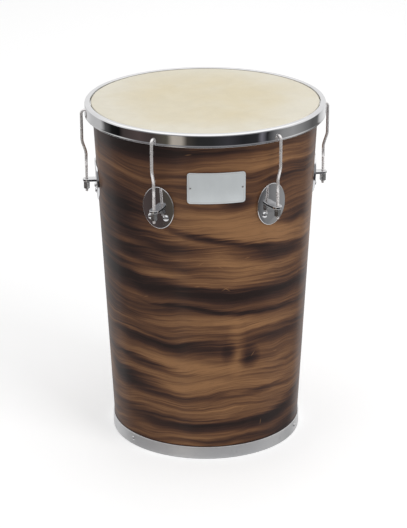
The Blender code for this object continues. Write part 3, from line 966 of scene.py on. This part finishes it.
class HoopOperator(bpy.types.Operator):
    """Model the chromed hoop: a deep band with a turned-in flange, a beaded foot and six hook holes"""

    bl_idname = "rebolo.add_hoop"
    bl_label = "Hoop"

    def execute(self, context):
        sizes = context.scene.rebolo_sizes
        corner = sizes.hoop_corner
        outer = HOOP_RADIUS - HOOP_BEAD
        inner = outer - HOOP_WALL
        half = HOOP_WALL / 2
        bead = 0.0012
        bead_round = 0.0005
        inner_corner = corner - HOOP_WALL
        profile = arc(HOOP_FLANGE_RADIUS + half, HEIGHT - half, half, 270.0, 90.0, 8)
        profile += arc(outer - corner, HEIGHT - corner, corner, 90.0, 0.0, 10)
        profile += [(outer, HOOK_HOLE_HEIGHT + 0.0032), (outer, HOOK_HOLE_HEIGHT - 0.0032)]
        profile += [(outer, HOOP_BOTTOM + bead * 2), (HOOP_RADIUS - 0.0001, HOOP_BOTTOM + bead * 1.4)]
        profile += arc(HOOP_RADIUS - bead_round, HOOP_BOTTOM + bead_round, bead_round, 0.0, -90.0, 5)
        profile += arc(inner + bead_round, HOOP_BOTTOM + bead_round, bead_round, -90.0, -180.0, 4)
        profile += [(inner, HOOK_HOLE_HEIGHT - 0.0032), (inner, HOOK_HOLE_HEIGHT + 0.0032)]
        profile += arc(inner - inner_corner, HEIGHT - HOOP_WALL - inner_corner, inner_corner, 0.0, 90.0, 4)
        hoop = turned("hoop", profile, sizes.turning_steps)
        holes = at_bearings(LUG_BEARINGS, outward(outer, HOOK_HOLE_HEIGHT))
        drill(hoop, ROD_RADIUS + BORE_EASE * 4, HOOP_WALL * 4, ROD_HOLE_SIDES, holes.values())
        smooth(hoop)
        finish = existing("Chrome", chrome_finish)
        hand_over(hoop, "counter_hoop", finish)
        return {"FINISHED"}


class WireHoopOperator(bpy.types.Operator):
    """Model the wire hoop under the flange, round which the skin's edge is tucked"""

    bl_idname = "rebolo.add_wire_hoop"
    bl_label = "Wire hoop"

    def execute(self, context):
        centre = HOOP_RADIUS - HOOP_BEAD - HOOP_WALL - GAP - FLESH_HOOP_WIRE
        height = HEIGHT - HOOP_WALL - GAP - FLESH_HOOP_WIRE
        profile = arc(centre, height, FLESH_HOOP_WIRE, 0.0, 360.0, 20)[:-1]
        wire = turned("wire_hoop", profile, context.scene.rebolo_sizes.turning_steps)
        smooth(wire)
        finish = existing("Plated steel", steel_finish)
        hand_over(wire, "flesh_hoop", finish)
        return {"FINISHED"}


class LugsOperator(bpy.types.Operator):
    """Model a lug, an oval mirror-fronted plate with a level tongue, and copy it round the shell"""

    bl_idname = "rebolo.add_lugs"
    bl_label = "Lugs"

    def execute(self, context):
        depth = 0.0060
        plate = cylinder("lug_plate", 1.0, depth, 112, (0.0, 0.0, -depth / 2))
        edit(plate)
        bpy.ops.mesh.select_all(action="SELECT")
        bpy.ops.transform.resize(
            value=(LUG_PLATE_TALL / 2, LUG_PLATE_WIDTH / 2, 1.0), center_override=(0.0, 0.0, 0.0)
        )
        pick(plate, lambda co: co.z > -TOUCHING)
        rim = context.scene.rebolo_sizes.plate_rim
        bpy.ops.mesh.bevel(offset=rim, segments=5, profile=0.5, affect="EDGES")
        close_up(plate)
        plate.data.transform(lug_plate_matrix(0.0, LUG_HEIGHT))

        half = TONGUE_WIDTH / 2
        centre = TONGUE_TIP_RADIUS - half
        root = shell_radius(TONGUE_TOP)
        middle = (centre, 0.0, TONGUE_TOP - TONGUE_THICKNESS / 2)
        tongue = cylinder("lug_tongue", half, TONGUE_THICKNESS, 64, middle)
        edit(tongue)
        pick(tongue, lambda co: co.x < centre - TOUCHING)
        bpy.ops.transform.translate(value=(root - centre, 0.0, 0.0))
        bpy.ops.mesh.select_mode(type="EDGE")
        bpy.ops.mesh.select_all(action="DESELECT")
        bpy.ops.mesh.edges_select_sharp(sharpness=math.radians(60.0))
        bpy.ops.mesh.bevel(offset=0.0006, segments=4, profile=0.5, affect="EDGES")
        close_up(tongue)
        shape_with(plate, tongue, "UNION")

        low = LUG_HEIGHT - LUG_PLATE_TALL
        high = LUG_HEIGHT + LUG_PLATE_TALL
        deselect()
        bpy.ops.mesh.primitive_cone_add(
            vertices=256,
            radius1=shell_radius(low) + GAP,
            radius2=shell_radius(high) + GAP,
            depth=high - low,
            location=(0.0, 0.0, LUG_HEIGHT),
        )
        shape_with(plate, added("lug_seat"))
        seats = [lug_plate_matrix(side * LUG_SCREW_OFFSET, LUG_SCREW_HEIGHT) for side in (-1, 1)]
        drill(plate, SCREW_RADIUS + BORE_EASE, depth * 2, SCREW_HOLE_SIDES, seats)
        rod_seat = Matrix.Translation((ROD_LOW_RADIUS, 0.0, TONGUE_TOP))
        drill(plate, ROD_RADIUS + BORE_EASE * 3, TONGUE_THICKNESS * 4, ROD_HOLE_SIDES, [rod_seat])
        smooth(plate)
        finish = existing("Chrome", chrome_finish)
        copies(plate, at_bearings(LUG_BEARINGS), "oval_lug_", "lug_", finish)
        return {"FINISHED"}


def rod_centre_line():
    """Centre line of a hook rod in its own upright plane, as (radius, height, thickness) points."""
    root = ROD_RADIUS * 0.85
    line = [
        (ROD_LOW_RADIUS, ROD_BOTTOM, root * 0.8),
        (ROD_LOW_RADIUS, ROD_BOTTOM + 0.0004, root),
        (ROD_LOW_RADIUS, THREAD_TOP, root),
        (ROD_LOW_RADIUS, THREAD_TOP + 0.0005, ROD_RADIUS),
        (ROD_LOW_RADIUS, ROD_JOG_BOTTOM, ROD_RADIUS),
    ]
    steps = 14
    for i in range(1, steps + 1):
        share = i / steps
        ease = share * share * (3.0 - 2.0 * share)
        radius = ROD_LOW_RADIUS + (ROD_HIGH_RADIUS - ROD_LOW_RADIUS) * ease
        line.append((radius, ROD_JOG_BOTTOM + (ROD_JOG_TOP - ROD_JOG_BOTTOM) * share, ROD_RADIUS))
    bend_x = ROD_HIGH_RADIUS - ROD_BEND_RADIUS
    bend_z = HOOK_HOLE_HEIGHT - ROD_BEND_RADIUS
    line += [(x, z, ROD_RADIUS) for x, z in arc(bend_x, bend_z, ROD_BEND_RADIUS, 0.0, 90.0, 12)]
    line.append((ROD_TIP_RADIUS + 0.0004, HOOK_HOLE_HEIGHT, ROD_RADIUS))
    line.append((ROD_TIP_RADIUS, HOOK_HOLE_HEIGHT, root))
    return line


def thread_ridge(pitch):
    """A closed ridge that winds up the lower end of a hook rod."""
    root = ROD_RADIUS * 0.85
    turns = int((THREAD_TOP - ROD_BOTTOM) / pitch) - 1
    middle = (root + ROD_RADIUS) / 2
    deselect()
    bpy.ops.mesh.primitive_plane_add(size=1.0, rotation=(math.radians(90.0), 0.0, 0.0))
    ridge = added("thread_ridge")
    edit(ridge)
    bpy.ops.mesh.select_all(action="SELECT")
    bpy.ops.transform.resize(value=(ROD_RADIUS - root, 1.0, pitch * 0.92), center_override=(0.0, 0.0, 0.0))
    pick(ridge, lambda co: co.x > 0.0)
    bpy.ops.transform.resize(value=(1.0, 1.0, 0.2), center_override=(0.0, 0.0, 0.0))
    bpy.ops.mesh.select_all(action="SELECT")
    bpy.ops.transform.translate(value=(middle, 0.0, ROD_BOTTOM + pitch))
    bpy.ops.mesh.delete(type="ONLY_FACE")
    bpy.ops.object.mode_set(mode="OBJECT")
    winding = ridge.modifiers.new("Thread", "SCREW")
    winding.axis = "Z"
    winding.steps = 14
    winding.render_steps = 14
    winding.screw_offset = pitch
    winding.iterations = turns
    apply_modifiers(ridge)
    edit(ridge)
    bpy.ops.mesh.select_all(action="SELECT")
    bpy.ops.mesh.fill_holes(sides=4)
    close_up(ridge)
    ridge.data.transform(Matrix.Translation((ROD_LOW_RADIUS, 0.0, 0.0)))
    return ridge


class HookRodsOperator(bpy.types.Operator):
    """Model a bent hook rod with its thread, and copy it round the hoop"""

    bl_idname = "rebolo.add_hook_rods"
    bl_label = "Hook rods"

    def execute(self, context):
        curve = bpy.data.curves.new("hook_rod", "CURVE")
        curve.dimensions = "3D"
        curve.bevel_depth = 1.0
        curve.bevel_resolution = 10
        curve.use_fill_caps = True
        line = rod_centre_line()
        spline = curve.splines.new("POLY")
        spline.points.add(len(line) - 1)
        for point, (radius, height, thickness) in zip(spline.points, line):
            point.co = (radius, 0.0, height, 1.0)
            point.radius = thickness
        rod = bpy.data.objects.new("bent_rod", curve)
        context.scene.collection.objects.link(rod)
        take_up(rod)
        bpy.ops.object.convert(target="MESH")
        rod = context.object
        edit(rod)
        close_up(rod)
        rod = joined([rod, thread_ridge(context.scene.rebolo_sizes.thread_pitch)])
        smooth(rod, 40.0)
        finish = existing("Satin plating", rod_finish)
        copies(rod, at_bearings(LUG_BEARINGS), "bent_rod_", "hook_rod_", finish)
        return {"FINISHED"}


def hexagon_nut(name, across_flats, height, bore, chamfer, foot, sides):
    """A hexagon nut, chamfered above and rounded below, centred, with +Z along its bore."""
    corner = across_flats / math.sqrt(3.0)
    nut = cylinder(name, corner, height, 6)
    wide = corner + BORE_EASE
    profile = [(0.0, height / 2), (corner - chamfer * 1.7, height / 2), (wide, height / 2 - chamfer)]
    profile += arc(wide - foot, foot - height / 2, foot, 0.0, -90.0, 6)
    profile.append((0.0, -height / 2))
    shape_with(nut, turned("nut_turning", profile, sides), "INTERSECT")
    shape_with(nut, cylinder("nut_bore", bore, height * 2, sides))
    return nut


class TuningNutsOperator(bpy.types.Operator):
    """Model a long tuning nut and put one under each lug's tongue, on its rod"""

    bl_idname = "rebolo.add_tuning_nuts"
    bl_label = "Tuning nuts"

    def execute(self, context):
        nut = hexagon_nut(
            "tuning_nut", NUT_ACROSS_FLATS, NUT_HIGH - NUT_LOW, ROD_RADIUS + BORE_EASE * 2, 0.0006, 0.0014, 48
        )
        smooth(nut)
        seat = Matrix.Translation((ROD_LOW_RADIUS, 0.0, (NUT_LOW + NUT_HIGH) / 2))
        places = at_bearings(LUG_BEARINGS, seat)
        finish = existing("Plated steel", steel_finish)
        copies(nut, places, "long_nut_", "tuning_nut_", finish)
        return {"FINISHED"}


class LugScrewsOperator(bpy.types.Operator):
    """Model a round-headed lug screw and put two through each lug"""

    bl_idname = "rebolo.add_lug_screws"
    bl_label = "Lug screws"

    def execute(self, context):
        clamped = LUG_PLATE_THICKNESS + GAP + SHELL_WALL + WASHER_STAND_OFF
        length = clamped + INNER_NUT_HEIGHT + SCREW_END
        screw = domed_screw("dome_screw", SCREW_HEAD_RADIUS, SCREW_HEAD_HEIGHT, SCREW_RADIUS, length, 40)
        finish = existing("Chrome", chrome_finish)
        copies(screw, lug_screw_places(-GAP), "dome_screw_", "lug_screw_", finish)
        return {"FINISHED"}


class InnerNutsOperator(bpy.types.Operator):
    """Model a nut with its washer and put one on each lug screw, inside the shell"""

    bl_idname = "rebolo.add_inner_nuts"
    bl_label = "Inner nuts"

    def execute(self, context):
        nut = hexagon_nut(
            "washer_nut", INNER_NUT_ACROSS_FLATS, INNER_NUT_HEIGHT, SCREW_RADIUS / 2, 0.0004, 0.0007, 32
        )
        top = INNER_NUT_HEIGHT / 2
        ease = WASHER_THICKNESS * 0.25
        profile = [
            (0.0, top),
            (WASHER_RADIUS - ease, top),
            (WASHER_RADIUS, top - ease),
            (WASHER_RADIUS, top - WASHER_THICKNESS + ease),
            (WASHER_RADIUS - ease, top - WASHER_THICKNESS),
            (0.0, top - WASHER_THICKNESS),
        ]
        shape_with(nut, turned("washer", profile, 40), "UNION")
        shape_with(nut, cylinder("nut_bore", SCREW_RADIUS + BORE_EASE, INNER_NUT_HEIGHT * 2, 32))
        smooth(nut)
        inside = LUG_PLATE_THICKNESS + GAP + SHELL_WALL + WASHER_STAND_OFF
        finish = existing("Plated steel", steel_finish)
        places = lug_screw_places(inside + INNER_NUT_HEIGHT / 2)
        copies(nut, places, "washer_nut_", "lug_nut_", finish)
        return {"FINISHED"}


class BadgeOperator(bpy.types.Operator):
    """Model the blank badge, a thin plate with rounded corners, bent round the front of the shell"""

    bl_idname = "rebolo.add_badge"
    bl_label = "Badge"

    def execute(self, context):
        low = BADGE_HEIGHT - BADGE_TALL
        high = BADGE_HEIGHT + BADGE_TALL
        ease = 0.00015
        front = GAP + BADGE_THICKNESS
        profile = [
            (shell_radius(high) + GAP, high),
            (shell_radius(high) + front, high),
            (shell_radius(low) + front, low),
            (shell_radius(low) + GAP, low),
        ]
        badge = turned("blank_badge", profile, 360)
        deselect()
        bpy.ops.mesh.primitive_plane_add(size=1.0, rotation=(math.radians(90.0), 0.0, 0.0))
        outline = added("badge_outline")
        edit(outline)
        bpy.ops.mesh.select_all(action="SELECT")
        bpy.ops.transform.resize(value=(BADGE_WIDTH, 1.0, BADGE_TALL), center_override=(0.0, 0.0, 0.0))
        bpy.ops.mesh.bevel(offset=BADGE_CORNER, segments=8, profile=0.5, affect="VERTICES")
        bpy.ops.mesh.extrude_region_move(TRANSFORM_OT_translate={"value": (0.0, -HOOP_RADIUS, 0.0)})
        close_up(outline)
        outline.data.transform(Matrix.Translation((0.0, -HOOP_RADIUS / 2, BADGE_HEIGHT)))
        shape_with(badge, outline, "INTERSECT")
        bevel = badge.modifiers.new("Ease", "BEVEL")
        bevel.width = ease
        bevel.segments = 2
        bevel.limit_method = "ANGLE"
        bevel.angle_limit = math.radians(50.0)
        apply_modifiers(badge)
        reach = BADGE_THICKNESS * 6
        drill(badge, PIN_RADIUS + BORE_EASE, reach, SMALL_HOLE_SIDES, pin_places().values())
        smooth(badge)
        border = context.scene.rebolo_sizes.badge_border
        finish = existing("Satin badge", badge_finish, border)
        hand_over(badge, "badge", finish)
        return {"FINISHED"}


class BadgePinsOperator(bpy.types.Operator):
    """Model a small round-headed pin and put one at each end of the badge"""

    bl_idname = "rebolo.add_badge_pins"
    bl_label = "Badge pins"

    def execute(self, context):
        pin = domed_screw("badge_pin", PIN_HEAD_RADIUS, PIN_HEAD_HEIGHT, PIN_RADIUS, PIN_LENGTH, 24)
        finish = existing("Plated steel", steel_finish)
        copies(pin, pin_places(GAP), "round_pin_", "badge_pin_", finish)
        return {"FINISHED"}


# Stage

CAMERA_PLACE = (-0.2592, -2.6433, 1.2467)
CAMERA_TURN = (math.radians(69.08), 0.0028, math.radians(-5.6))
CAMERA_LENS = 142.17
CAMERA_SENSOR = 36.0
CAMERA_BEARING = math.radians(-5.6)
FLOOR_WIDTH = 24.0


# Name, place, width and power of each light
SOFT_BOXES = (
    ("key_light", (1.7, -2.0, 2.3), 1.6, 36.0),
    ("fill_light", (-2.2, -1.6, 1.5), 1.6, 6.0),
    ("top_light", (0.0, 0.3, 2.8), 2.4, 16.0),
    ("back_light", (0.4, 2.6, 1.8), 1.8, 8.0),
)
LIGHT_TARGET = (0.0, 0.0, 0.25)


def soft_box(name, place, size, power):
    """A square light that shows in no reflection; the world holds what the metal mirrors."""
    light = bpy.data.lights.new(name, "AREA")
    light.size = size
    light.energy = power
    obj = bpy.data.objects.new(name, light)
    bpy.context.scene.collection.objects.link(obj)
    obj.location = place
    obj.rotation_euler = (Vector(LIGHT_TARGET) - obj.location).to_track_quat("-Z", "Y").to_euler()
    obj.visible_glossy = False


# Walls that the gloss shows: share of the way round from behind the drum, past its left side, and colour
STUDIO_WALLS = (
    (0.000, (0.45, 0.45, 0.46)),
    (0.060, 0.66),
    (0.090, 0.67),
    (0.115, 0.57),
    (0.175, 0.53),
    (0.195, 0.085),
    (0.222, 0.012),
    (0.252, 0.006),
    (0.268, (0.056, 0.046, 0.044)),
    (0.320, (0.085, 0.064, 0.062)),
    (0.355, (0.058, 0.046, 0.044)),
    (0.400, (0.092, 0.084, 0.066)),
    (0.415, (0.47, 0.42, 0.36)),
    (0.438, (0.42, 0.38, 0.33)),
    (0.452, (0.060, 0.053, 0.046)),
    (0.480, 0.026),
    (0.520, (0.028, 0.028, 0.029)),
    (0.560, (0.044, 0.043, 0.049)),
    (0.600, (0.021, 0.021, 0.023)),
    (0.640, (0.028, 0.028, 0.030)),
    (0.652, (0.18, 0.175, 0.20)),
    (0.668, (0.018, 0.018, 0.020)),
    (0.690, (0.15, 0.15, 0.155)),
    (0.720, 0.28),
    (0.755, 0.32),
    (0.790, 0.235),
    (0.840, 0.115),
    (0.872, 0.13),
    (0.890, 0.62),
    (0.940, 0.88),
    (1.000, 0.60),
)


def studio_world():
    """Even white light all round, with grey and dark walls that only the gloss shows."""
    world = bpy.data.worlds.new("Studio")
    world.use_nodes = True
    studio = Graph(world.node_tree)
    background = studio.tree.nodes["Background"]
    x, y, z = studio.split(studio.add("ShaderNodeTexCoord"))
    turn = studio.math("ARCTAN2", x, 0.0 - y) / (2.0 * math.pi) - CAMERA_BEARING / (2.0 * math.pi)
    round_share = studio.math("FRACT", turn + 1.5)
    walls = studio.add("ShaderNodeValToRGB", {"stops": STUDIO_WALLS}, {"Fac": round_share})
    before = studio.ease(abs(round_share - 0.5), 0.17, 0.25, 1.0, 0.0)
    high = studio.blend(before, 0.86, (0.24, 0.24, 0.25))
    high = studio.blend(studio.ease(z, 0.50, 0.68), high, 1.20)
    glossy = studio.blend(studio.ease(z, -0.20, -0.04), walls, high)
    glossy = studio.blend(studio.ease(z, -0.66, -0.54, 1.0, 0.0), glossy, (0.85, 0.85, 0.86))
    is_camera = studio.add("ShaderNodeLightPath", output=0)
    is_glossy = studio.add("ShaderNodeLightPath", output=3)
    light = studio.blend(is_glossy, 0.50, glossy)
    light = studio.blend(is_camera, light, 1.0)
    studio.feed(background.inputs["Color"], light)
    bpy.context.scene.world = world


class StageOperator(bpy.types.Operator):
    """Set up the white floor, the studio lights and the camera"""

    bl_idname = "rebolo.add_stage"
    bl_label = "Stage"

    def execute(self, context):
        deselect()
        bpy.ops.mesh.primitive_plane_add(size=FLOOR_WIDTH)
        floor = added("floor")
        paper = Finish("White paper")
        x, y, z = paper.place()
        fibres = paper.noise(paper.vector(x * 60.0, y * 60.0, 0.0), 3.0)
        floor.data.materials.append(
            paper.set(
                base_color=paper.blend(fibres, 0.79, 0.82),
                roughness=0.9,
                specular_ior_level=0.0,
                emission_color=1.0,
                emission_strength=0.36,
            )
        )
        floor.visible_glossy = False
        for name, place, size, power in SOFT_BOXES:
            soft_box(name, place, size, power)
        studio_world()

        lens = bpy.data.cameras.new("camera")
        lens.lens = CAMERA_LENS
        lens.sensor_width = CAMERA_SENSOR
        lens.sensor_fit = "AUTO"
        camera = bpy.data.objects.new("camera", lens)
        camera.location = CAMERA_PLACE
        camera.rotation_euler = Euler(CAMERA_TURN, "XYZ")
        context.scene.collection.objects.link(camera)
        context.scene.camera = camera
        context.scene.view_settings.view_transform = "Standard"
        return {"FINISHED"}


OPERATORS = (
    StageOperator,
    ShellOperator,
    FootRingOperator,
    FootScrewsOperator,
    SkinOperator,
    HoopOperator,
    WireHoopOperator,
    LugsOperator,
    HookRodsOperator,
    TuningNutsOperator,
    LugScrewsOperator,
    InnerNutsOperator,
    BadgeOperator,
    BadgePinsOperator,
)


class ReboloPanel(bpy.types.Panel):
    """Lists the drum's sizes, colours and pieces in the sidebar"""

    bl_idname = "REBOLO_PT_drum"
    bl_label = "Rebolo drum"
    bl_space_type = "VIEW_3D"
    bl_region_type = "UI"
    bl_category = "Rebolo"

    def draw(self, context):
        for group in (context.scene.rebolo_sizes, context.scene.rebolo_colours):
            column = self.layout.column()
            for name in group.__annotations__:
                column.prop(group, name)
        column = self.layout.column()
        for operator in OPERATORS:
            column.operator(operator.bl_idname)


CLASSES = (ReboloSizes, ReboloColours, *OPERATORS, ReboloPanel)


def register():
    for cls in CLASSES:
        bpy.utils.register_class(cls)
    bpy.types.Scene.rebolo_sizes = bpy.props.PointerProperty(type=ReboloSizes)
    bpy.types.Scene.rebolo_colours = bpy.props.PointerProperty(type=ReboloColours)


def unregister():
    del bpy.types.Scene.rebolo_colours
    del bpy.types.Scene.rebolo_sizes
    for cls in reversed(CLASSES):
        bpy.utils.unregister_class(cls)


def main():
    register()
    for operator in OPERATORS:
        group, name = operator.bl_idname.split(".")
        getattr(getattr(bpy.ops, group), name)()


if __name__ == "__main__":
    main()
